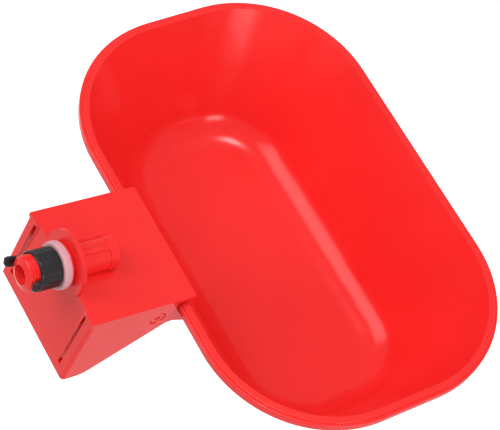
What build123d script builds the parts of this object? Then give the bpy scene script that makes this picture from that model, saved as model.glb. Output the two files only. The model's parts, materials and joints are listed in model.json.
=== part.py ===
from build123d import *
import os
from math import cos, radians, sin

os.makedirs("parts", exist_ok=True)

# Tilting bowl drinker. Millimetres, +Z up, +Y from the wall towards the bowl, +X along the bowl.
# The origin is on the inlet's axis, in the plane of the wall the housing stands against.
# The bowl is at rest when it is empty: its spring holds its front edge raised.

# Housing
HOUSING_W = 80.4          # outside width
HOUSING_H = 59.8          # height at the back
HOUSING_L = 60.5          # length of the side walls
PLATE_L = 71.8            # length of the top plate
PLATE_T = 3.0
WALL_T = 3.0              # side walls
BACK_T = 3.5
PLATE_Z = -5.5            # the plate's upper face, below the inlet's axis
FRONT_DROP = 22.0         # height of the side walls at their front edge
TOE_Y = 14.0              # where the sloping lower edge meets the level one
TOE_R = 14.0
PLATE_CORNER_R = 1.3
PANEL_W = 63.0            # set-in panel of the back
PANEL_DEPTH = 1.6         # at its top; it gets shallower downwards
PANEL_FOOT_DEPTH = -0.1   # it has run out just above its foot
PANEL_H = 55.0
PANEL_SLANT = 1.8         # how far its sides lean inwards, per unit of depth
CORNER_R = 2.5            # upright corners of the back
SLOT_X = 32.0
SLOT_W = 2.4
SLOT_TOP = 2.5            # below the plate's upper face
SLOT_BOTTOM = 52.0
SHELF_Z = -59.0           # shelf inside the back, for the level screw
SHELF_T = 3.0
SHELF_W = 18.0
SHELF_END = 17.0          # from the wall plane
OVERCUT = 1.0             # how far a cut starts outside the face that it opens
PRESS_GAP = 0.05          # radial, between a bore and what is pressed in it

# Inlet, all about the origin's Y axis
THREAD_R = 10.48          # G 1/2
THREAD_END = 27.3         # in front of the wall plane
NOSE_L = 1.4              # conical nose in front of the thread
NOSE_R = 9.0
NOSE_TIP_R = 6.4
FLANGE_R = 19.8
FLANGE_T = 3.0
COLLAR_R = 12.5
COLLAR_T = 2.4
BARREL_R = 9.8
BARREL_L = 30.5
RING_R = 10.2             # plain ring round the barrel's end
RING_L = 5.0
RIB_W = 2.6               # ribs along the barrel
RIB_H = 2.2
RIB_SINK = 0.2            # how far a rib's middle lies inside the barrel's surface
RIB_FIRST = 76.0          # direction of the first rib, and the angle on to the next
RIB_STEP = 64.0
CAP_T = 1.5
CAP_PLUG_L = 4.0
SHANK_R = 7.4
SHANK_L = 14.0
INLET_BORE_R = 5.8
WATER_BORE_R = 5.0
BORE_STEP = 6.0           # where the inlet's bore narrows, in front of the wall plane
STRAINER_R = 4.6
STRAINER_L = 13.0
O_RING_R = 0.58
O_RING_Y = 9.2
O_RING_GROOVE_W = 1.6
O_RING_GROOVE_DEPTH = 1.2
WASHER_R = 14.2
WASHER_T = 5.0
NUT_R = 12.1
NUT_L = 13.9
NUT_GAP = 0.3             # between the nut and the washer it turns against
NUT_CLEARANCE = 0.08      # radial, on the thread's crests
EAR_T = 2.0
FINGER = (200.0, 6.8, 14.8, 31.0)  # long ear: its direction, width, outer radius and end
LUG = (16.0, 6.4, 12.6, 28.0)      # short ear

# Tilting bowl; its own heights and lengths are taken from the pivot, with the bowl level
PIVOT_Y = 50.0
PIVOT_Z = PLATE_Z - 14.75
REST_TILT = 8.67
PIVOT_HOLE_R = 5.0
PIVOT_CLEARANCE = 0.05
PIN_STUB_R = 4.0          # pressed in the arm's wall
PIN_SET_IN = 0.3          # how far the pin's end lies inside the housing's face
BOWL_Y = 111.95           # pivot to the bowl's centre
RIM_Z = 7.49              # pivot to the rim's upper face
BOWL_L = 300.0
BOWL_W = 198.4
BOWL_R = 79.0
RIM_W = 6.0
RIM_H = 3.0
SKIRT_T = 1.8             # turned-down edge of the rim
SKIRT_H = 6.0
SKIRT_STEP = 0.9          # how far the edge lies below the rim's face
DEPTH = 80.0
SHELL_T = 2.5
FLOOR_L = 214.0           # of the cavity, before its floor edge is rounded
FLOOR_W = 101.0
FLOOR_R = 42.0
FLOOR_FILLET = 24.0
SHELL_SIDE = 2.83         # shell thickness measured level, on its sloping sides

# Neck and operating arm, one with the bowl; the neck ends inside the bowl's wall
ARM_W = 72.0
ARM_T = 3.0
ARM_REAR = 37.5           # behind the pivot
SUMP_Z = -14.0            # floor of the water channel under the valve
CHANNEL_Z = -17.0         # floor of the water channel in front of the pivot
NECK_END = 40.0           # in front of the pivot
WINDOW_W = 48.0           # opening in the bowl's wall, below the rim
WINDOW_H = 7.0
WINDOW_R = 3.0

# Valve, on a vertical axis
VALVE_Y = 24.0
BOSS_R = 6.6
BOSS_END = -16.5
SEAT_R = 4.2
SEAT_LIP = -19.0
JET_R = 1.6
PAD_R = 5.0
PAD_T = 2.0
HEAD_T = 1.5
PASSAGE_R = 2.2
SEAT_T = 5.0              # how far the seat reaches up into the boss
SEAT_FLANGE_T = 1.2
VALVE_GAP = 0.3           # left between pad and seat when the valve is shut
GUIDE_R = 8.0
STEM_R = 2.5
STEM_CLEARANCE = 0.07
GUIDE_FLOOR_T = 2.0
FOOT_GAP = 0.4            # between the stem's foot and the sump's floor

# Spring and water level adjuster
SPRING_Y = 8.55
SPRING_R = 3.4
WIRE_R = 0.55
HOOK_Y = -42.0            # from the pivot, bowl level
HOOK_Z = -0.5
HOOK_T = 3.2
HOOK_EYE_R = 1.3
SHANK_OF_HOOK = 2.5       # length of each of the spring's hook shanks
SCREW_R = 2.0
SCREW_CLEARANCE = 0.1
EYE_Z = -54.5
EYE_R = 2.6
EYE_WIRE_R = 1.0
KNOB_R = 4.6
KNOB_FLUTES = 10


def section(y):
    """Plane square to Y at y: local x is X, local y is Z, and it faces -Y."""
    return Plane.XZ.offset(-y)


def side_plane(x):
    """Plane square to X at x: local x is Y, local y is Z."""
    return Plane(origin=(x, 0, 0), x_dir=(0, 1, 0), z_dir=(1, 0, 0))


tilt = radians(REST_TILT)
raised = Plane(
    origin=(0, PIVOT_Y, PIVOT_Z), x_dir=(1, 0, 0), z_dir=(0, -sin(tilt), cos(tilt))
)


def raised_side(x):
    """Plane square to X in the raised bowl: local x runs to the front, from the pivot."""
    return Plane(
        origin=(x, PIVOT_Y, PIVOT_Z), x_dir=(0, cos(tilt), sin(tilt)), z_dir=(1, 0, 0)
    )


# ---------------------------------------------------------------- housing
floor_z = PLATE_Z - HOUSING_H
under_plate = PLATE_Z - PLATE_T

with BuildPart() as housing:
    # outside of the box, seen from the side
    with BuildSketch(side_plane(-HOUSING_W / 2)):
        with BuildLine():
            Polyline(
                (0, PLATE_Z),
                (HOUSING_L, PLATE_Z),
                (HOUSING_L, PLATE_Z - FRONT_DROP),
                (TOE_Y, floor_z),
                (0, floor_z),
                close=True,
            )
        make_face()
        # in the sketch's own axes the toe is the farther of the two lowest corners
        fillet(vertices().group_by(Axis.Y)[0].sort_by(Axis.X)[-1], radius=TOE_R)
    extrude(amount=HOUSING_W)
    fillet(edges().filter_by(Axis.Z).group_by(Axis.Y)[0], radius=CORNER_R)
    # inside, open below and at the front
    with BuildSketch(Plane.XY.offset(under_plate)):
        with Locations((0, BACK_T + HOUSING_L / 2)):
            Rectangle(HOUSING_W - 2 * WALL_T, HOUSING_L)
    extrude(amount=-HOUSING_H, mode=Mode.SUBTRACT)
    # top plate, reaching over the rim of the bowl
    with BuildSketch(Plane.XY.offset(PLATE_Z)):
        with Locations((0, PLATE_L / 2)):
            Rectangle(HOUSING_W, PLATE_L)
        fillet(vertices().group_by(Axis.Y)[-1], radius=PLATE_CORNER_R)
    extrude(amount=-PLATE_T)
    # set-in panel of the back, with slanted sides, shallower towards its foot
    for panel_z, panel_depth in (
        (PLATE_Z + OVERCUT, PANEL_DEPTH),
        (PLATE_Z - PANEL_H, PANEL_FOOT_DEPTH),
    ):
        with BuildSketch(Plane.XY.offset(panel_z)):
            with BuildLine():
                Polyline(
                    (-PANEL_W / 2 - PANEL_SLANT, -OVERCUT),
                    (-PANEL_W / 2 + PANEL_SLANT * panel_depth, panel_depth),
                    (PANEL_W / 2 - PANEL_SLANT * panel_depth, panel_depth),
                    (PANEL_W / 2 + PANEL_SLANT, -OVERCUT),
                    close=True,
                )
            make_face()
    loft(ruled=True, mode=Mode.SUBTRACT)
    # hanging slots through the back
    with BuildSketch(section(0)):
        with Locations(
            (-SLOT_X, PLATE_Z - (SLOT_TOP + SLOT_BOTTOM) / 2),
            (SLOT_X, PLATE_Z - (SLOT_TOP + SLOT_BOTTOM) / 2),
        ):
            Rectangle(SLOT_W, SLOT_BOTTOM - SLOT_TOP)
    extrude(amount=-BACK_T, mode=Mode.SUBTRACT)
    # inlet flange, barrel and the barrel's ribs
    with BuildSketch(section(0)):
        Circle(FLANGE_R)
    extrude(amount=-FLANGE_T)
    with BuildSketch(section(0)):
        Circle(BARREL_R)
    extrude(amount=-BARREL_L)
    with BuildSketch(section(FLANGE_T)):
        with PolarLocations(
            BARREL_R - RIB_SINK, 2, start_angle=RIB_FIRST, angular_range=2 * RIB_STEP
        ):
            Rectangle(RIB_H, RIB_W)
    extrude(amount=-(BARREL_L - RING_L - FLANGE_T))
    with BuildSketch(section(BARREL_L - RING_L)):
        Circle(RING_R)
    extrude(amount=-RING_L)
    # valve boss under the plate
    with BuildSketch(Plane.XY.offset(BOSS_END)):
        with Locations((0, VALVE_Y)):
            Circle(BOSS_R)
    extrude(amount=PLATE_Z - BOSS_END)
    # shelf that carries the level screw
    with BuildSketch(Plane.XY.offset(SHELF_Z)):
        with Locations((0, (BACK_T / 2 + SHELF_END) / 2)):
            Rectangle(SHELF_W, SHELF_END - BACK_T / 2)
    extrude(amount=-SHELF_T)
    # water way: inlet shank's bore, narrower bore to the end, valve passage and seat pocket
    with BuildSketch(section(0)):
        Circle(SHANK_R + PRESS_GAP)
    extrude(amount=-(SHANK_L + 0.5), mode=Mode.SUBTRACT)
    with BuildSketch(section(0)):
        Circle(WATER_BORE_R)
    extrude(amount=-BARREL_L, mode=Mode.SUBTRACT)
    with BuildSketch(Plane.XY):
        with Locations((0, VALVE_Y)):
            Circle(PASSAGE_R)
    extrude(amount=BOSS_END, mode=Mode.SUBTRACT)
    with BuildSketch(Plane.XY.offset(BOSS_END)):
        with Locations((0, VALVE_Y)):
            Circle(SEAT_R)
    extrude(amount=SEAT_T, mode=Mode.SUBTRACT)
    # level screw hole
    with BuildSketch(Plane.XY.offset(SHELF_Z)):
        with Locations((0, SPRING_Y)):
            Circle(SCREW_R + SCREW_CLEARANCE)
    extrude(amount=-SHELF_T, mode=Mode.SUBTRACT)
    # pivot holes, eased outside
    with BuildSketch(side_plane(-HOUSING_W / 2)):
        with Locations((PIVOT_Y, PIVOT_Z)):
            Circle(PIVOT_HOLE_R)
    extrude(amount=HOUSING_W, mode=Mode.SUBTRACT)
    hole_edges = edges().filter_by(GeomType.CIRCLE).filter_by(
        lambda e: abs(e.radius - PIVOT_HOLE_R) < 0.01
    )
    outer_hole_edges = hole_edges.sort_by(Axis.X)[:1] + hole_edges.sort_by(Axis.X)[-1:]
    chamfer(outer_hole_edges, length=0.4)

housing.part.label = "housing"
export_step(housing.part, "parts/housing.step")

# ---------------------------------------------------------------- bowl
bowl_rim_plane = Plane(
    origin=raised.from_local_coords((0, BOWL_Y, RIM_Z)), x_dir=(1, 0, 0), z_dir=raised.z_dir
)
side_slope = (BOWL_W / 2 - RIM_W - FLOOR_W / 2) / DEPTH
end_slope = (BOWL_L / 2 - RIM_W - FLOOR_L / 2) / DEPTH
corner_slope = (BOWL_R - RIM_W - FLOOR_R) / DEPTH


def bowl_outline(depth, grow):
    """Length, width and corner radius of the cavity at a depth, grown outwards."""
    length = BOWL_L - 2 * RIM_W - 2 * end_slope * depth + 2 * grow
    width = BOWL_W - 2 * RIM_W - 2 * side_slope * depth + 2 * grow
    return length, width, BOWL_R - RIM_W - corner_slope * depth + grow


with BuildPart() as bowl_cavity:
    with BuildSketch(bowl_rim_plane):
        RectangleRounded(*bowl_outline(0, 0))
    with BuildSketch(bowl_rim_plane.offset(-DEPTH)):
        RectangleRounded(*bowl_outline(DEPTH, 0))
    loft(ruled=True)
    fillet(faces().sort_by(Axis.Z)[0].edges(), radius=FLOOR_FILLET)

with BuildPart() as bowl_outside:
    with BuildSketch(bowl_rim_plane.offset(-0.5)):
        RectangleRounded(*bowl_outline(0.5, SHELL_SIDE))
    with BuildSketch(bowl_rim_plane.offset(-DEPTH - SHELL_T)):
        RectangleRounded(*bowl_outline(DEPTH + SHELL_T, SHELL_SIDE))
    loft(ruled=True)
    fillet(faces().sort_by(Axis.Z)[0].edges(), radius=FLOOR_FILLET + SHELL_T)

with BuildPart() as bowl_rim:
    # turned-down edge
    with BuildSketch(bowl_rim_plane.offset(-SKIRT_STEP)):
        RectangleRounded(BOWL_L, BOWL_W, BOWL_R)
    extrude(amount=SKIRT_STEP - SKIRT_H)
    fillet(faces().filter_by(bowl_rim_plane).sort_by(Axis.Z)[-1].edges(), radius=0.7)
    # level face
    with BuildSketch(bowl_rim_plane):
        RectangleRounded(BOWL_L - 2 * SKIRT_T, BOWL_W - 2 * SKIRT_T, BOWL_R - SKIRT_T)
    extrude(amount=-RIM_H)
    fillet(faces().filter_by(bowl_rim_plane).sort_by(Axis.Z)[-1].edges(), radius=0.5)
    # open below, inside the turned-down edge
    with BuildSketch(bowl_rim_plane.offset(-RIM_H)):
        RectangleRounded(BOWL_L - 2 * SKIRT_T, BOWL_W - 2 * SKIRT_T, BOWL_R - SKIRT_T)
    extrude(amount=RIM_H - SKIRT_H, mode=Mode.SUBTRACT)

with BuildPart() as bowl:
    # neck and arm, seen from the side
    with BuildSketch(raised_side(-ARM_W / 2)):
        with BuildLine():
            Polyline(
                (-ARM_REAR, -10.5),
                (-14, -10.5),
                (-7, RIM_Z - 1),
                (NECK_END, RIM_Z - 1),
                (NECK_END, -35),
                (36, -35),
                (27, -26.2),
                (16.5, CHANNEL_Z - ARM_T),
                (10, CHANNEL_Z - ARM_T),
                (0, SUMP_Z - ARM_T - 1),
                (-ARM_REAR, SUMP_Z - ARM_T),
                close=True,
            )
        make_face()
    extrude(amount=ARM_W)
    # water channel, open above
    with BuildSketch(raised_side(-ARM_W / 2 + ARM_T)):
        with BuildLine():
            Polyline(
                (ARM_T - ARM_REAR, 20),
                (ARM_T - ARM_REAR, SUMP_Z),
                (-5, SUMP_Z),
                (10, CHANNEL_Z),
                (15.5, CHANNEL_Z),
                (26, -23),
                (33.5, -30),
                (NECK_END, -30),
                (NECK_END, 20),
                close=True,
            )
        make_face()
    extrude(amount=ARM_W - 2 * ARM_T, mode=Mode.SUBTRACT)
    # hook behind the arm for the spring: a post and a finger with an eye
    with BuildSketch(raised_side(-HOOK_T / 2)):
        with BuildLine():
            Polyline(
                (-ARM_REAR + 2, SUMP_Z - ARM_T),
                (-ARM_REAR + 2, 2),
                (-45.4, 2),
                (-45.4, -3),
                (-ARM_REAR - 0.5, -3),
                (-ARM_REAR - 0.5, SUMP_Z - ARM_T),
                close=True,
            )
        make_face()
        with Locations((HOOK_Y, HOOK_Z)):
            Circle(HOOK_EYE_R, mode=Mode.SUBTRACT)
    extrude(amount=HOOK_T)
    # the bowl itself
    add(bowl_rim.part)
    add(bowl_outside.part)
    add(bowl_cavity.part, mode=Mode.SUBTRACT)
    # window that lets the water in below the rim
    window_centre = raised.from_local_coords((0, 10, -2))
    with BuildSketch(Plane(window_centre, x_dir=(1, 0, 0), z_dir=raised.y_dir)):
        RectangleRounded(WINDOW_W, WINDOW_H, WINDOW_R)
    extrude(amount=24, mode=Mode.SUBTRACT)
    # seats of the pivot pins in the arm's walls
    with BuildSketch(raised_side(-ARM_W / 2)):
        Circle(PIN_STUB_R)
    extrude(amount=ARM_W, mode=Mode.SUBTRACT)

bowl.part.label = "bowl"
export_step(bowl.part, "parts/bowl.step")

# ---------------------------------------------------------------- pivot pins
pin_head_l = HOUSING_W / 2 - PIN_SET_IN - ARM_W / 2


def pivot_pin(sign):
    """Stub pin pressed in one wall of the arm, turning in the housing's hole."""
    outer = Plane(origin=(sign * ARM_W / 2, PIVOT_Y, PIVOT_Z), x_dir=(0, 1, 0), z_dir=(sign, 0, 0))
    with BuildPart() as pin:
        with BuildSketch(outer):
            Circle(PIVOT_HOLE_R - PIVOT_CLEARANCE)
        extrude(amount=pin_head_l)
        fillet(faces().sort_by(Axis.X)[-1 if sign > 0 else 0].edges(), radius=0.8)
        with BuildSketch(outer):
            Circle(PIN_STUB_R)
        extrude(amount=-ARM_T)
        # shallow dimple in the pin's end
        with BuildSketch(outer.offset(pin_head_l)):
            Circle(2)
        extrude(amount=-0.5, mode=Mode.SUBTRACT)
    return pin.part


for pin_name, pin_side in (("pivot_pin_left", -1), ("pivot_pin_right", 1)):
    pin_part = pivot_pin(pin_side)
    pin_part.label = pin_name
    export_step(pin_part, f"parts/{pin_name}.step")

# ---------------------------------------------------------------- inlet
with BuildPart() as inlet_spigot:
    with BuildSketch(section(-THREAD_END)):
        Circle(THREAD_R)
    extrude(amount=-(THREAD_END - COLLAR_T))
    chamfer(faces().sort_by(Axis.Y)[0].edges(), length=1.2)
    with BuildSketch(section(-THREAD_END)):
        Circle(NOSE_R)
    with BuildSketch(section(-THREAD_END - NOSE_L)):
        Circle(NOSE_TIP_R)
    loft()
    with BuildSketch(section(-COLLAR_T)):
        Circle(COLLAR_R)
    extrude(amount=-COLLAR_T)
    with BuildSketch(section(0)):
        Circle(SHANK_R)
    extrude(amount=-SHANK_L)
    with BuildSketch(section(-THREAD_END - NOSE_L)):
        Circle(INLET_BORE_R)
    extrude(amount=-(THREAD_END + NOSE_L - BORE_STEP), mode=Mode.SUBTRACT)
    with BuildSketch(section(-BORE_STEP)):
        Circle(WATER_BORE_R)
    extrude(amount=-(BORE_STEP + SHANK_L), mode=Mode.SUBTRACT)
    # groove of the seal ring
    with BuildSketch(section(O_RING_Y - O_RING_GROOVE_W / 2)):
        Circle(SHANK_R + OVERCUT)
        Circle(SHANK_R - O_RING_GROOVE_DEPTH, mode=Mode.SUBTRACT)
    extrude(amount=-O_RING_GROOVE_W, mode=Mode.SUBTRACT)

inlet_spigot.part.label = "inlet_spigot"
export_step(inlet_spigot.part, "parts/inlet_spigot.step")

with BuildPart() as inlet_o_ring:
    with BuildSketch(Plane.YZ):
        with Locations((O_RING_Y, SHANK_R - O_RING_R)):
            Circle(O_RING_R)
    revolve(axis=Axis.Y)

inlet_o_ring.part.label = "inlet_o_ring"
export_step(inlet_o_ring.part, "parts/inlet_o_ring.step")

with BuildPart() as inlet_strainer:
    with BuildSketch(section(-BORE_STEP - 1.2)):
        Circle(INLET_BORE_R - PRESS_GAP)
    extrude(amount=-1.2)
    with BuildSketch(section(-BORE_STEP - STRAINER_L)):
        Circle(STRAINER_R)
    extrude(amount=1 - STRAINER_L)
    with BuildSketch(section(-BORE_STEP - STRAINER_L + 0.8)):
        Circle(STRAINER_R - 0.7)
    extrude(amount=-STRAINER_L, mode=Mode.SUBTRACT)
    # slots through the cup's side
    with BuildSketch(section(-BORE_STEP - STRAINER_L + 2)):
        with PolarLocations(STRAINER_R - 0.4, 8):
            Rectangle(2.2, 1.3)
    extrude(amount=5 - STRAINER_L, mode=Mode.SUBTRACT)

inlet_strainer.part.label = "inlet_strainer"
export_step(inlet_strainer.part, "parts/inlet_strainer.step")

with BuildPart() as sealing_washer:
    with BuildSketch(section(-COLLAR_T)):
        Circle(WASHER_R)
        Circle(THREAD_R + 0.12, mode=Mode.SUBTRACT)
    extrude(amount=WASHER_T)
    rim_edges = edges().filter_by(GeomType.CIRCLE).filter_by(lambda e: e.radius > WASHER_R - 1)
    fillet(rim_edges, radius=0.6)

sealing_washer.part.label = "sealing_washer"
export_step(sealing_washer.part, "parts/sealing_washer.step")

nut_back = COLLAR_T + WASHER_T + NUT_GAP
nut_front = nut_back + NUT_L

with BuildPart() as lock_nut:
    with BuildSketch(section(-nut_back)):
        Circle(NUT_R)
    extrude(amount=NUT_L)
    # a long and a short ear that reach forward along the thread
    for ear, ear_w, ear_r, ear_end in (FINGER, LUG):
        along = (cos(radians(ear)), 0, sin(radians(ear)))
        across = (-sin(radians(ear)) * ear_w / 2, 0, cos(radians(ear)) * ear_w / 2)
        ear_plane = Plane(origin=across, x_dir=along, z_dir=(-across[0], 0, -across[2]))
        forward = 1 if ear_plane.y_dir.Y < 0 else -1
        with BuildSketch(ear_plane):
            with BuildLine():
                Polyline(
                    (THREAD_R + 0.4, forward * (nut_front - 2)),
                    (NUT_R - 0.1, forward * (nut_front - 2)),
                    (NUT_R + 0.6, forward * (nut_front + 0.5)),
                    (ear_r, forward * (ear_end - 1.5)),
                    (ear_r, forward * ear_end),
                    (max(ear_r - EAR_T, THREAD_R + 0.4), forward * ear_end),
                    (THREAD_R + 0.4, forward * (nut_front + 2)),
                    close=True,
                )
            make_face()
        extrude(amount=ear_w)
    with BuildSketch(section(-nut_back)):
        Circle(THREAD_R + NUT_CLEARANCE)
    extrude(amount=NUT_L + 1, mode=Mode.SUBTRACT)

lock_nut.part.label = "lock_nut"
export_step(lock_nut.part, "parts/lock_nut.step")

with BuildPart() as barrel_end_cap:
    with BuildSketch(section(BARREL_L)):
        Circle(RING_R)
    extrude(amount=-CAP_T)
    chamfer(faces().sort_by(Axis.Y)[-1].edges(), length=0.5)
    # cut flat where it stands on the plate
    with BuildSketch(Plane.XY.offset(PLATE_Z + 0.05)):
        with Locations((0, BARREL_L)):
            Rectangle(3 * RING_R, 4 * CAP_PLUG_L)
    extrude(amount=-RING_R, mode=Mode.SUBTRACT)
    # plug that closes the water way
    with BuildSketch(section(BARREL_L)):
        Circle(WATER_BORE_R - PRESS_GAP)
    extrude(amount=CAP_PLUG_L)

barrel_end_cap.part.label = "barrel_end_cap"
export_step(barrel_end_cap.part, "parts/barrel_end_cap.step")

# ---------------------------------------------------------------- valve
sump_rest_y = (VALVE_Y - PIVOT_Y + SUMP_Z * sin(tilt)) / cos(tilt)
sump_rest_z = PIVOT_Z + sump_rest_y * sin(tilt) + SUMP_Z * cos(tilt)
plunger_travel = PIVOT_Z + SUMP_Z - sump_rest_z
pad_top = SEAT_LIP - VALVE_GAP - plunger_travel
head_top = pad_top - PAD_T
head_bottom = head_top - HEAD_T
foot_tip = sump_rest_z + FOOT_GAP
guide_floor = head_bottom - 0.5
guide_top = -BARREL_R - 0.4

with BuildPart() as valve_seat:
    with BuildSketch(Plane.XY.offset(BOSS_END)):
        with Locations((0, VALVE_Y)):
            Circle(SEAT_R)
    extrude(amount=SEAT_T)
    with BuildSketch(Plane.XY.offset(BOSS_END)):
        with Locations((0, VALVE_Y)):
            Circle(BOSS_R - 0.8)
    extrude(amount=-SEAT_FLANGE_T)
    with BuildSketch(Plane.XY.offset(BOSS_END)):
        with Locations((0, VALVE_Y)):
            Circle(JET_R + 1.4)
    extrude(amount=SEAT_LIP - BOSS_END)
    with BuildSketch(Plane.XY.offset(SEAT_LIP)):
        with Locations((0, VALVE_Y)):
            Circle(JET_R)
    extrude(amount=10, mode=Mode.SUBTRACT)

valve_seat.part.label = "valve_seat"
export_step(valve_seat.part, "parts/valve_seat.step")

with BuildPart() as plunger_guide:
    with BuildSketch(Plane.XY.offset(guide_top)):
        with Locations((0, VALVE_Y)):
            Circle(GUIDE_R)
    extrude(amount=guide_floor - GUIDE_FLOOR_T - guide_top)
    with BuildSketch(Plane.XY.offset(guide_floor)):
        with Locations((0, VALVE_Y)):
            Circle(BOSS_R)
    extrude(amount=30, mode=Mode.SUBTRACT)
    # three side windows and three drain holes, around the hole of the stem
    with BuildSketch(Plane.XY.offset(guide_floor)):
        with Locations((0, VALVE_Y)):
            with PolarLocations(GUIDE_R, 3):
                Rectangle(6, 8)
    extrude(amount=BOSS_END - 2 - guide_floor, mode=Mode.SUBTRACT)
    with BuildSketch(Plane.XY.offset(guide_floor)):
        with Locations((0, VALVE_Y)):
            Circle(STEM_R + STEM_CLEARANCE)
            with PolarLocations(4.9, 3, start_angle=60):
                Circle(1.2)
    extrude(amount=-GUIDE_FLOOR_T, mode=Mode.SUBTRACT)

plunger_guide.part.label = "plunger_guide"
export_step(plunger_guide.part, "parts/plunger_guide.step")

with BuildPart() as valve_plunger:
    with BuildSketch(Plane.XY.offset(head_top)):
        with Locations((0, VALVE_Y)):
            Circle(PAD_R)
    extrude(amount=-HEAD_T)
    with BuildSketch(Plane.XY.offset(head_bottom)):
        with Locations((0, VALVE_Y)):
            Circle(STEM_R)
    extrude(amount=foot_tip + STEM_R - head_bottom)
    with Locations((0, VALVE_Y, foot_tip + STEM_R)):
        Sphere(STEM_R)

valve_plunger.part.label = "valve_plunger"
export_step(valve_plunger.part, "parts/valve_plunger.step")

with BuildPart() as seal_pad:
    with BuildSketch(Plane.XY.offset(head_top)):
        with Locations((0, VALVE_Y)):
            Circle(PAD_R)
    extrude(amount=PAD_T)
    fillet(faces().sort_by(Axis.Z)[-1].edges(), radius=0.4)

seal_pad.part.label = "seal_pad"
export_step(seal_pad.part, "parts/seal_pad.step")

# ---------------------------------------------------------------- spring and level adjuster
finger_bottom = raised_side(0).from_local_coords((HOOK_Y, -3, 0)).Z
spring_top = finger_bottom - 0.4
spring_bottom = EYE_Z + EYE_R + EYE_WIRE_R + 0.3

with BuildPart() as return_spring:
    # the wound body as a sleeve, with the two hooks' shanks on its axis
    with BuildSketch(Plane.XY.offset(spring_bottom + SHANK_OF_HOOK)):
        with Locations((0, SPRING_Y)):
            Circle(SPRING_R)
    extrude(amount=spring_top - spring_bottom - 2 * SHANK_OF_HOOK)
    with BuildSketch(Plane.XY.offset(spring_bottom + SHANK_OF_HOOK + 1)):
        with Locations((0, SPRING_Y)):
            Circle(SPRING_R - 2 * WIRE_R)
    extrude(amount=spring_top - spring_bottom - 2 * SHANK_OF_HOOK - 2, mode=Mode.SUBTRACT)
    with BuildSketch(Plane.XY.offset(spring_bottom)):
        with Locations((0, SPRING_Y)):
            Circle(WIRE_R)
    extrude(amount=SHANK_OF_HOOK)
    with BuildSketch(Plane.XY.offset(spring_top)):
        with Locations((0, SPRING_Y)):
            Circle(WIRE_R)
    extrude(amount=-SHANK_OF_HOOK)

return_spring.part.label = "return_spring"
export_step(return_spring.part, "parts/return_spring.step")

with BuildPart() as level_screw:
    with BuildSketch(Plane.XY.offset(EYE_Z - EYE_R)):
        with Locations((0, SPRING_Y)):
            Circle(SCREW_R)
    extrude(amount=floor_z + 0.3 - (EYE_Z - EYE_R))
    with Locations(Location((0, SPRING_Y, EYE_Z), (90, 0, 0))):
        Torus(EYE_R, EYE_WIRE_R)

level_screw.part.label = "level_screw"
export_step(level_screw.part, "parts/level_screw.step")

with BuildPart() as level_nut:
    with BuildSketch(Plane.XY.offset(SHELF_Z - SHELF_T - 0.3)):
        with Locations((0, SPRING_Y)):
            Circle(KNOB_R)
            with PolarLocations(KNOB_R + 0.4, KNOB_FLUTES):
                Circle(0.9, mode=Mode.SUBTRACT)
            Circle(SCREW_R + 0.07, mode=Mode.SUBTRACT)
    extrude(amount=floor_z + 0.2 - (SHELF_Z - SHELF_T - 0.3))

level_nut.part.label = "level_nut"
export_step(level_nut.part, "parts/level_nut.step")

print("plunger travel", round(plunger_travel, 3), "rest tilt rad", round(tilt, 5))
print("spring", round(spring_top, 2), round(spring_bottom, 2))
print("bowl centre at rest", bowl_rim_plane.origin)
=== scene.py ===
import bpy
import bmesh
import json
import math
from mathutils import Matrix, Vector


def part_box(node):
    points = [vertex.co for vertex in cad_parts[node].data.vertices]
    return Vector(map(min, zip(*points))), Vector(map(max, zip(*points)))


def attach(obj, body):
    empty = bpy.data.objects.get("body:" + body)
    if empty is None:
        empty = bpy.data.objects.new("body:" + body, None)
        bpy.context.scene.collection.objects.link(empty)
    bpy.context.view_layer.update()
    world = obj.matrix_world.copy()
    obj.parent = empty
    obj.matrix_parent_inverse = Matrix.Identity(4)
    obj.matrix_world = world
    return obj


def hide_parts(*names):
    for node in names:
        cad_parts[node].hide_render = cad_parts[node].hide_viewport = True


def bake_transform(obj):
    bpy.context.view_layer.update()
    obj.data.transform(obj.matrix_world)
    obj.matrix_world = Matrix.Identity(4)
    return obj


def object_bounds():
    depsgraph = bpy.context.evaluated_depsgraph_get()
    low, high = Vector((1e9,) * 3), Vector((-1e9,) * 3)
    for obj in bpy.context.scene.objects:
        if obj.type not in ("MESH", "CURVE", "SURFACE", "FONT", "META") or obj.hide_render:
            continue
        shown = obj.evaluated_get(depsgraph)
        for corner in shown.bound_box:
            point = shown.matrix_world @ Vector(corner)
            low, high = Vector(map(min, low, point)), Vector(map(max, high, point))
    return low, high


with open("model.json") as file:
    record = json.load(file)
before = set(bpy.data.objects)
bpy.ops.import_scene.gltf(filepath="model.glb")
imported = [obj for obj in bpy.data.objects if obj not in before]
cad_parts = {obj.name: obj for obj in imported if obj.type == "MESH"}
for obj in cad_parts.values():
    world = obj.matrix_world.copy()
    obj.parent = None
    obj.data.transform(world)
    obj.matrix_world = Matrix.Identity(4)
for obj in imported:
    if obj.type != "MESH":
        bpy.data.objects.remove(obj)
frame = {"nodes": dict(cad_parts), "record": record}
cad_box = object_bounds()
nodes = frame["nodes"]

MM = 0.001

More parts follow.
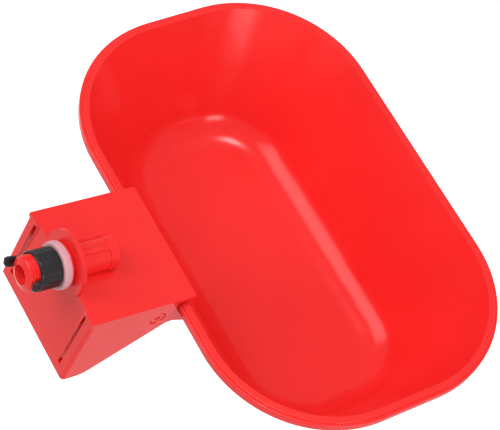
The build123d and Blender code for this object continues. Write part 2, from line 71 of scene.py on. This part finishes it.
# ---------------------------------------------------------------- sizes shared with the CAD model, in metres
THREAD_R = 10.48 * MM
THREAD_PITCH = 1.814 * MM
THREAD_DEPTH = 1.16 * MM
THREAD_CHAMFER = 0.9 * MM
THREAD_END = 27.3 * MM
NOSE_R = 9.0 * MM
COLLAR_R = 12.5 * MM
COLLAR_T = 2.4 * MM
SHANK_R = 7.4 * MM
SHANK_L = 14.0 * MM
INLET_BORE_R = 5.8 * MM
WATER_BORE_R = 5.0 * MM
BORE_STEP = 6.0 * MM
O_RING_Y = 9.2 * MM
O_RING_GROOVE = (1.6 * MM, 1.2 * MM)    # width and depth
NUT_R = 12.1 * MM
NUT_BORE_R = 10.56 * MM
NUT_L = 13.9 * MM
NUT_FLUTES = 12
NUT_FLUTE_DEPTH = 0.3 * MM
EAR_T = 2.1 * MM
# ears of the nut: direction in degrees, width, outer radius, end, how far the end slants back
FINGER = (200.0, 6.8 * MM, 14.8 * MM, 31.0 * MM, 0.0)
LUG = (16.0, 6.4 * MM, 12.6 * MM, 28.0 * MM, 2.4 * MM)
VOXEL = 0.28 * MM           # size at which the nut's sleeve and ears grow together
MOULDED_EDGE = 0.35 * MM    # eased edges of the large mouldings
PIN_EDGE = 0.2 * MM
EAR_CORNER_R = 2.2 * MM
SPRING_R = 2.85 * MM
SPRING_TURNS = 12
SPRING_HOOK_R = 2.4 * MM
WIRE_R = 0.55 * MM
EYE_CENTRE = Vector((0.0, 8.55 * MM, -54.5 * MM))
HOOK_HOLE = Vector((0.0, 8.56 * MM, -27.08 * MM))

# camera, from the object's side: where it looks, how far away it is and how it is turned
CAMERA_TARGET = Vector((1.0 * MM, 131.1 * MM, 0.0))
CAMERA_DISTANCE = 1.1515
CAMERA_AZIMUTH = 33.449
CAMERA_ELEVATION = 47.365
CAMERA_ROLL = 33.085
CAMERA_LENS = 137.6
CAMERA_SENSOR = 36.0
CAMERA_REACH = 50.0

# floor, the painted pool of light on it, and the room's light
FLOOR_DROP = 0.35
FLOOR_HALF = 6.0
# painted light: where and how strongly the floor glows white, with no lamp over it
PAINTED_POOL_CENTRE = (-0.22, 0.46)
PAINTED_POOL_SIZE = (0.33, 0.285)    # half its width and height, as seen from the camera
PAINTED_POOL_GLOW = 0.8
ROOM_STRENGTH = 0.53


# ---------------------------------------------------------------- helpers
def mesh_object(name, verts, faces, smooth=True):
    """A new mesh object in the scene, from points in metres."""
    mesh = bpy.data.meshes.new(name)
    mesh.from_pydata([tuple(v) for v in verts], [], faces)
    mesh.update()
    if smooth:
        mesh.shade_smooth()
    piece = bpy.data.objects.new(name, mesh)
    bpy.context.scene.collection.objects.link(piece)
    return piece


def grid_faces(rows, columns, close_rows=False):
    """Quads between rows of points, each row a closed ring; the rows may close up as well."""
    faces = []
    for i in range(rows if close_rows else rows - 1):
        k = (i + 1) % rows
        for j in range(columns):
            following = (j + 1) % columns
            faces.append((i * columns + j, i * columns + following,
                          k * columns + following, k * columns + j))
    return faces


# ---------------------------------------------------------------- materials
def new_material(name):
    """A node material with its Principled shader and an output; gives the material, tree and shader."""
    material = bpy.data.materials.new(name)
    material.use_nodes = True
    tree = material.node_tree
    shader = tree.nodes["Principled BSDF"]
    return material, tree, shader


def add_node(tree, kind, **values):
    """A node of that kind, with its named sockets set."""
    node = tree.nodes.new(kind)
    for key, value in values.items():
        node.inputs[key.replace("_", " ")].default_value = value
    return node


def noise_of(tree, scale, detail=3.0, rough=0.5):
    """Noise over the object's own coordinates."""
    coords = tree.nodes.new("ShaderNodeTexCoord")
    noise = add_node(tree, "ShaderNodeTexNoise", Scale=scale, Detail=detail, Roughness=rough)
    tree.links.new(coords.outputs["Object"], noise.inputs["Vector"])
    return noise


def ramp_of(tree, source, low, high, start=0.3, end=0.7):
    """A colour ramp from low to high, driven by a value."""
    ramp = tree.nodes.new("ShaderNodeValToRGB")
    ramp.color_ramp.elements[0].position = start
    ramp.color_ramp.elements[0].color = (*low, 1)
    ramp.color_ramp.elements[1].position = end
    ramp.color_ramp.elements[1].color = (*high, 1)
    tree.links.new(source, ramp.inputs["Fac"])
    return ramp


def range_of(tree, source, low, high, start=0.3, end=0.7):
    """A value mapped to the range low..high."""
    mapped = add_node(tree, "ShaderNodeMapRange", From_Min=start, From_Max=end, To_Min=low, To_Max=high)
    tree.links.new(source, mapped.inputs["Value"])
    return mapped


def texture_mapping(tree, source, place, degrees, size):
    """Points of the plane seen from a place in it, turned and in units of the given size."""
    mapping = add_node(tree, "ShaderNodeMapping", Location=place, Scale=size,
                       Rotation=(0, 0, math.radians(degrees)))
    mapping.vector_type = "TEXTURE"
    tree.links.new(source, mapping.inputs["Vector"])
    return mapping


def moulded_plastic(name, low, high, rough=(0.17, 0.25), grain=900.0, bump=0.04, subsurface=0.0):
    """Injection-moulded plastic: faint flow mottling, a fine skin and uneven gloss."""
    material, tree, shader = new_material(name)
    flow = noise_of(tree, 18.0, 4.0, 0.55)
    colour = ramp_of(tree, flow.outputs["Fac"], low, high)
    tree.links.new(colour.outputs["Color"], shader.inputs["Base Color"])
    smear = noise_of(tree, 60.0, 5.0, 0.6)
    gloss = range_of(tree, smear.outputs["Fac"], rough[0], rough[1])
    tree.links.new(gloss.outputs["Result"], shader.inputs["Roughness"])
    skin = noise_of(tree, grain, 2.0, 0.5)
    bumps = add_node(tree, "ShaderNodeBump", Strength=bump, Distance=0.0004)
    tree.links.new(skin.outputs["Fac"], bumps.inputs["Height"])
    tree.links.new(bumps.outputs["Normal"], shader.inputs["Normal"])
    shader.inputs["Specular IOR Level"].default_value = 0.34
    shader.inputs["Subsurface Weight"].default_value = subsurface
    shader.inputs["Subsurface Radius"].default_value = (0.004, 0.001, 0.001)
    return material


def drawn_steel(name):
    """Bright drawn stainless wire, with faint streaks."""
    material, tree, shader = new_material(name)
    streaks = noise_of(tree, 700.0, 2.0, 0.5)
    colour = ramp_of(tree, streaks.outputs["Fac"], (0.42, 0.42, 0.43), (0.62, 0.62, 0.63))
    tree.links.new(colour.outputs["Color"], shader.inputs["Base Color"])
    gloss = range_of(tree, streaks.outputs["Fac"], 0.22, 0.4)
    tree.links.new(gloss.outputs["Result"], shader.inputs["Roughness"])
    shader.inputs["Metallic"].default_value = 1.0
    return material


RED_LOW = (0.86, 0.021, 0.020)
RED_HIGH = (0.92, 0.026, 0.024)
MATERIALS = {
    "red_plastic": moulded_plastic("red_polypropylene", RED_LOW, RED_HIGH),
    "pale_silicone": moulded_plastic("pale_silicone", (0.62, 0.30, 0.34), (0.76, 0.42, 0.46),
                                     rough=(0.45, 0.6), grain=500.0, subsurface=0.2),
    "black_plastic": moulded_plastic("black_nylon", (0.010, 0.010, 0.011), (0.022, 0.020, 0.022),
                                     rough=(0.16, 0.34), grain=420.0, bump=0.3),
    "black_rubber": moulded_plastic("black_rubber", (0.012, 0.012, 0.012), (0.03, 0.03, 0.03),
                                    rough=(0.6, 0.8), grain=900.0),
    "white_plastic": moulded_plastic("natural_acetal", (0.72, 0.71, 0.66), (0.82, 0.81, 0.77),
                                     rough=(0.35, 0.5)),
    "spring_steel": drawn_steel("spring_steel"),
}
slot_of = {part["node"]: part["material_slot"] for part in frame["record"]["subparts"]}

for node_name, node in nodes.items():
    node.data.materials.clear()
    node.data.materials.append(MATERIALS[slot_of[node_name]])


# ---------------------------------------------------------------- pieces
def outward(piece):
    """Turn every face's normal outwards."""
    work = bmesh.new()
    work.from_mesh(piece.data)
    bmesh.ops.recalc_face_normals(work, faces=work.faces)
    work.to_mesh(piece.data)
    work.free()


def revolved(name, stations, columns=112, relief=None):
    """Ring or sleeve about the inlet's axis from a closed loop of (place along it, radius).

    A relief gives the radius at (place, radius, angle), for threads and flutes.
    """
    verts = []
    for along, radius in stations:
        for j in range(columns):
            angle = 2 * math.pi * j / columns
            r = relief(along, radius, angle) if relief else radius
            verts.append((r * math.cos(angle), along, r * math.sin(angle)))
    piece = mesh_object(name, verts, grid_faces(len(stations), columns, close_rows=True))
    outward(piece)
    return piece


def finish_of(piece, slot, *cad_nodes):
    """Give a new piece its finish and hide the CAD nodes that it stands for."""
    piece.data.materials.clear()
    piece.data.materials.append(MATERIALS[slot])
    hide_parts(*cad_nodes)


def inlet_thread(along, radius, angle):
    """Rounded helical thread, fading out at the collar and cut off by the chamfer in front."""
    y = -along
    if y < COLLAR_T + 0.1 * MM or y > THREAD_END or radius < THREAD_R - 0.01 * MM:
        return radius
    phase = y / THREAD_PITCH + angle / (2 * math.pi)
    groove = (0.5 - 0.5 * math.cos(2 * math.pi * phase)) ** 0.8
    run_out = min(1.0, (y - COLLAR_T) / (2 * MM))
    chamfer = THREAD_R - max(0.0, y - (THREAD_END - THREAD_CHAMFER))
    return min(chamfer, THREAD_R - THREAD_DEPTH * groove * run_out)


def inlet_spigot():
    """Threaded inlet with its collar, and the shank behind it that holds the seal ring."""
    front = -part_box("inlet_spigot")[0][1]
    step = THREAD_PITCH / 12
    count = int((THREAD_END - COLLAR_T) / step)
    outside = [(-THREAD_END + i * step, THREAD_R) for i in range(count + 1)]
    outside += [(-COLLAR_T, THREAD_R), (-COLLAR_T, COLLAR_R - 0.3 * MM), (-COLLAR_T + 0.3 * MM, COLLAR_R),
                (-0.3 * MM, COLLAR_R), (0.0, COLLAR_R - 0.3 * MM), (0.0, SHANK_R)]
    groove = O_RING_GROOVE[0] / 2
    groove_r = SHANK_R - O_RING_GROOVE[1]
    outside += [(O_RING_Y - groove, SHANK_R), (O_RING_Y - groove, groove_r),
                (O_RING_Y + groove, groove_r), (O_RING_Y + groove, SHANK_R),
                (SHANK_L - 0.5 * MM, SHANK_R), (SHANK_L, SHANK_R - 0.5 * MM)]
    inside = [(SHANK_L, WATER_BORE_R), (-BORE_STEP, WATER_BORE_R), (-BORE_STEP, INLET_BORE_R),
              (-front + 0.25 * MM, INLET_BORE_R)]
    nose = [(-front, INLET_BORE_R + 0.2 * MM), (-front, INLET_BORE_R + 0.45 * MM),
            (-front + 0.15 * MM, INLET_BORE_R + 0.8 * MM), (-THREAD_END - 0.15 * MM, NOSE_R - 0.15 * MM)]
    piece = revolved("threaded_inlet", outside + inside + nose, relief=inlet_thread)
    sharp_by_angle(piece, 50)
    finish_of(piece, "red_plastic", "inlet_spigot")
    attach(piece, "housing")


def sharp_by_angle(piece, degrees):
    """Smooth shading, with sharp edges where two faces meet at more than that angle."""
    piece.data.shade_smooth()
    work = bmesh.new()
    work.from_mesh(piece.data)
    for edge in work.edges:
        if len(edge.link_faces) == 2 and edge.calc_face_angle() > math.radians(degrees):
            edge.smooth = False
    work.to_mesh(piece.data)
    work.free()


def ear(degrees, width, radius, end, slant):
    """One ear of the lock nut: a flat finger that leans outwards, with rounded corners."""
    turn = math.radians(degrees)
    face = NUT_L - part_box("lock_nut")[1][1]
    corner = EAR_CORNER_R
    bore = THREAD_R + 0.35 * MM
    stations = [end, end - 0.1 * corner, end - 0.35 * corner, end - corner,
                face + 1.5 * MM, face, face - 2 * MM]
    verts = []
    for reach in stations:
        lean = min(1.0, max(0.0, (reach - face) / (end - face)))
        inner = bore + lean * max(0.0, radius - EAR_T - bore)
        outer = NUT_R - 0.1 * MM + lean * (radius - NUT_R + 0.1 * MM)
        cut = max(0.0, corner - (end - reach))
        half = width / 2 - (corner - math.sqrt(corner ** 2 - cut ** 2))
        for across, r in ((-half, inner), (half, inner), (half, outer), (-half, outer)):
            y = -reach + lean * slant * (across / width + 0.5)
            verts.append((r * math.cos(turn) - across * math.sin(turn), y,
                          r * math.sin(turn) + across * math.cos(turn)))
    last = 4 * (len(stations) - 1)
    faces = grid_faces(len(stations), 4)
    faces += [(0, 1, 2, 3), (last + 3, last + 2, last + 1, last)]
    return verts, faces


def fluted(along, radius, angle):
    """Shallow grip flutes along the nut's outside, left out near its two ends."""
    face = NUT_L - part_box("lock_nut")[1][1]
    if radius < NUT_R - 0.01 * MM or -along > face - 1.0 * MM:
        return radius
    wave = 0.5 + 0.5 * math.cos(NUT_FLUTES * angle)
    return radius - NUT_FLUTE_DEPTH * wave ** 3


def lock_nut():
    """Sleeve and ears grown together: closed shapes that overlap, remeshed into one."""
    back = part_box("lock_nut")[1][1]
    face = back - NUT_L
    ease = 0.5 * MM
    sleeve = revolved("sleeve", [
        (back, NUT_BORE_R + 0.3 * MM), (back, NUT_R - ease), (back - ease, NUT_R),
        (face + 1.9 * MM, NUT_R), (face + 0.9 * MM, NUT_R), (face + 0.3 * MM, NUT_R - 0.25 * MM),
        (face, NUT_R - 0.7 * MM),
        (face, NUT_BORE_R + 0.35 * MM), (face + 0.35 * MM, NUT_BORE_R), (back - 0.3 * MM, NUT_BORE_R)],
        relief=fluted)
    work = bmesh.new()
    work.from_mesh(sleeve.data)
    for shape in (FINGER, LUG):
        verts, faces = ear(*shape)
        made = [work.verts.new(v) for v in verts]
        for corners in faces:
            work.faces.new([made[k] for k in corners])
    bmesh.ops.recalc_face_normals(work, faces=work.faces)
    work.to_mesh(sleeve.data)
    work.free()
    sleeve.name = "eared_lock_nut"
    remesh = sleeve.modifiers.new("grown_together", "REMESH")
    remesh.mode = "VOXEL"
    remesh.voxel_size = VOXEL
    relax = sleeve.modifiers.new("relax", "SMOOTH")
    relax.factor = 0.5
    relax.iterations = 4
    bake_modifiers(sleeve)
    sleeve.data.shade_smooth()
    finish_of(sleeve, "black_plastic", "lock_nut")
    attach(sleeve, "lock_nut")


def bake_modifiers(piece):
    """Put the result of the piece's modifiers in its mesh."""
    shown = piece.evaluated_get(bpy.context.evaluated_depsgraph_get())
    mesh = bpy.data.meshes.new_from_object(shown)
    piece.modifiers.clear()
    old = piece.data
    piece.data = mesh
    bpy.data.meshes.remove(old)


def sealing_washer():
    """Thick soft washer with a bulging outer edge."""
    low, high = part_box("sealing_washer")
    front, back, outer = low[1], high[1], high[0]
    hole = THREAD_R + 0.12 * MM
    ring = [(front, hole + 0.3 * MM)]
    thick = back - front
    for k in range(9):
        turn = math.pi * k / 8
        bulge = 0.9 * MM * math.sin(turn) ** 0.5
        ring.append((front + thick * (0.5 - 0.5 * math.cos(turn)), outer - 0.9 * MM + bulge))
    ring += [(back, hole + 0.3 * MM), (back - 0.3 * MM, hole), (front + 0.3 * MM, hole)]
    piece = revolved("silicone_washer", ring)
    sharp_by_angle(piece, 60)
    finish_of(piece, "pale_silicone", "sealing_washer")
    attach(piece, "housing")


def tube(name, path, radius, sides=12):
    """Round wire along a path of close points, capped at both ends."""
    verts, faces = [], []
    side = Vector((1, 0, 0))
    for i, point in enumerate(path):
        ahead = path[min(i + 1, len(path) - 1)] - path[max(i - 1, 0)]
        ahead.normalize()
        side = (side - ahead * side.dot(ahead)).normalized()
        other = ahead.cross(side)
        for j in range(sides):
            angle = 2 * math.pi * j / sides
            verts.append(point + radius * (math.cos(angle) * side + math.sin(angle) * other))
    faces = grid_faces(len(path), sides)
    faces += [tuple(range(sides)), tuple(len(path) * sides - 1 - j for j in range(sides))]
    piece = mesh_object(name, verts, faces)
    outward(piece)
    return piece


def return_spring():
    """Wound spring between the screw's eye and the arm's finger, with a hook at each end."""
    y = EYE_CENTRE.y
    hook_r = SPRING_HOOK_R
    low_hook = Vector((0, y, EYE_CENTRE.z + 3.4 * MM))
    high_hook = Vector((0, y, HOOK_HOLE.z - 3.1 * MM))
    coil_low = low_hook.z + hook_r + 0.5 * MM
    coil_high = high_hook.z - hook_r - 0.5 * MM
    path = []
    for k in range(25):
        angle = math.radians(70 - 340 * k / 24)
        path.append(low_hook + hook_r * Vector((0, math.sin(angle), math.cos(angle))))
    steps = SPRING_TURNS * 24
    first = path[-1]
    start = Vector((0, y + SPRING_R, coil_low))
    for k in range(1, 5):
        path.append(first.lerp(start, k / 5))
    for k in range(steps + 1):
        angle = 2 * math.pi * k / 24
        z = coil_low + (coil_high - coil_low) * k / steps
        path.append(Vector((SPRING_R * math.sin(angle), y + SPRING_R * math.cos(angle), z)))
    loop = []
    for k in range(25):
        angle = math.radians(180 + 340 * k / 24)
        loop.append(high_hook + hook_r * Vector((math.sin(angle), 0, math.cos(angle))))
    last = path[-1]
    for k in range(1, 5):
        path.append(last.lerp(loop[0], k / 5))
    path += loop
    piece = tube("wound_return_spring", path, WIRE_R)
    finish_of(piece, "spring_steel", "return_spring")
    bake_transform(piece)


def ease_edges(node_name, width, segments=2, angle=40):
    """Small moulding radius along a CAD node's sharp edges."""
    bevel = nodes[node_name].modifiers.new("eased_edges", "BEVEL")
    bevel.width = width
    bevel.segments = segments
    bevel.limit_method = "ANGLE"
    bevel.angle_limit = math.radians(angle)
    bevel.harden_normals = False


inlet_spigot()
lock_nut()
sealing_washer()
return_spring()
for moulding in ("housing", "bowl"):
    ease_edges(moulding, MOULDED_EDGE)
for pin in ("pivot_pin_left", "pivot_pin_right"):
    ease_edges(pin, PIN_EDGE)

# ---------------------------------------------------------------- stage
def pale_floor():
    """Wide pale floor well below the object, which hangs on a wall in use, with a painted pool of light
    where it glows.
    """
    z = cad_box[0][2] - FLOOR_DROP
    half = FLOOR_HALF
    floor = mesh_object("floor", [(-half, -half, z), (half, -half, z), (half, half, z), (-half, half, z)],
                        [(0, 1, 2, 3)], smooth=False)
    material, tree, shader = new_material("pale_floor")
    speck = noise_of(tree, 3.0)
    colour = ramp_of(tree, speck.outputs["Fac"], (0.7, 0.7, 0.7), (0.74, 0.74, 0.74))
    tree.links.new(colour.outputs["Color"], shader.inputs["Base Color"])
    shader.inputs["Roughness"].default_value = 0.9
    # painted pool of light: the floor itself glows there, behind the object as the camera sees it
    coords = tree.nodes.new("ShaderNodeTexCoord")
    foreshortening = math.sin(math.radians(CAMERA_ELEVATION))
    on_floor = texture_mapping(tree, coords.outputs["Object"], (*PAINTED_POOL_CENTRE, z), CAMERA_AZIMUTH,
                               (1, 1 / foreshortening, 1))
    as_seen = texture_mapping(tree, on_floor.outputs["Vector"], (0, 0, 0), CAMERA_ROLL, (*PAINTED_POOL_SIZE, 1))
    distance = tree.nodes.new("ShaderNodeVectorMath")
    distance.operation = "LENGTH"
    tree.links.new(as_seen.outputs["Vector"], distance.inputs[0])
    painted_pool = range_of(tree, distance.outputs["Value"], PAINTED_POOL_GLOW, 0.0, 1.0, 1.3)
    painted_pool.interpolation_type = "SMOOTHSTEP"
    # painted light: the floor's own white glow, fading out at the pool's edge
    shader.inputs["Emission Color"].default_value = (1, 1, 1, 1)
    tree.links.new(painted_pool.outputs["Result"], shader.inputs["Emission Strength"])
    floor.data.materials.append(material)


def soft_light(name, place, size, power):
    """A rectangular area light that faces the object."""
    light = bpy.data.lights.new(name, "AREA")
    light.shape = "RECTANGLE"
    light.size, light.size_y = size
    light.energy = power
    lamp = bpy.data.objects.new(name, light)
    lamp.location = place
    lamp.rotation_euler = (CAMERA_TARGET - Vector(place)).to_track_quat("-Z", "Y").to_euler()
    bpy.context.scene.collection.objects.link(lamp)


def white_room():
    """Even white light from all round."""
    world = bpy.data.worlds.new("white_room")
    world.use_nodes = True
    background = world.node_tree.nodes["Background"]
    background.inputs["Color"].default_value = (1, 1, 1, 1)
    background.inputs["Strength"].default_value = ROOM_STRENGTH
    bpy.context.scene.world = world


def photo_camera():
    """The camera, level first and then rolled about its own line of sight."""
    azimuth = math.radians(CAMERA_AZIMUTH)
    elevation = math.radians(CAMERA_ELEVATION)
    forward = Vector((-math.sin(azimuth) * math.cos(elevation),
                      math.cos(azimuth) * math.cos(elevation),
                      -math.sin(elevation)))
    right = forward.cross(Vector((0, 0, 1))).normalized()
    up = right.cross(forward)
    turn = Matrix.Rotation(math.radians(CAMERA_ROLL), 3, -forward)
    axes = Matrix((turn @ right, turn @ up, -forward)).transposed()
    camera = bpy.data.cameras.new("camera")
    camera.lens = CAMERA_LENS
    camera.sensor_width = CAMERA_SENSOR
    camera.clip_end = CAMERA_REACH
    rig = bpy.data.objects.new("camera", camera)
    rig.matrix_world = Matrix.Translation(CAMERA_TARGET - forward * CAMERA_DISTANCE) @ axes.to_4x4()
    bpy.context.scene.collection.objects.link(rig)
    bpy.context.scene.camera = rig


bpy.context.scene.view_settings.view_transform = "Standard"
pale_floor()
white_room()
soft_light("overhead", (-0.05, 0.1, 1.3), (0.26, 0.26), 4.5)
soft_light("front", (-0.59, -0.96, 0.83), (0.95, 1.05), 9.8)
soft_light("side", (1.1, 0.08, 0.3), (0.45, 0.5), 4.5)
photo_camera()
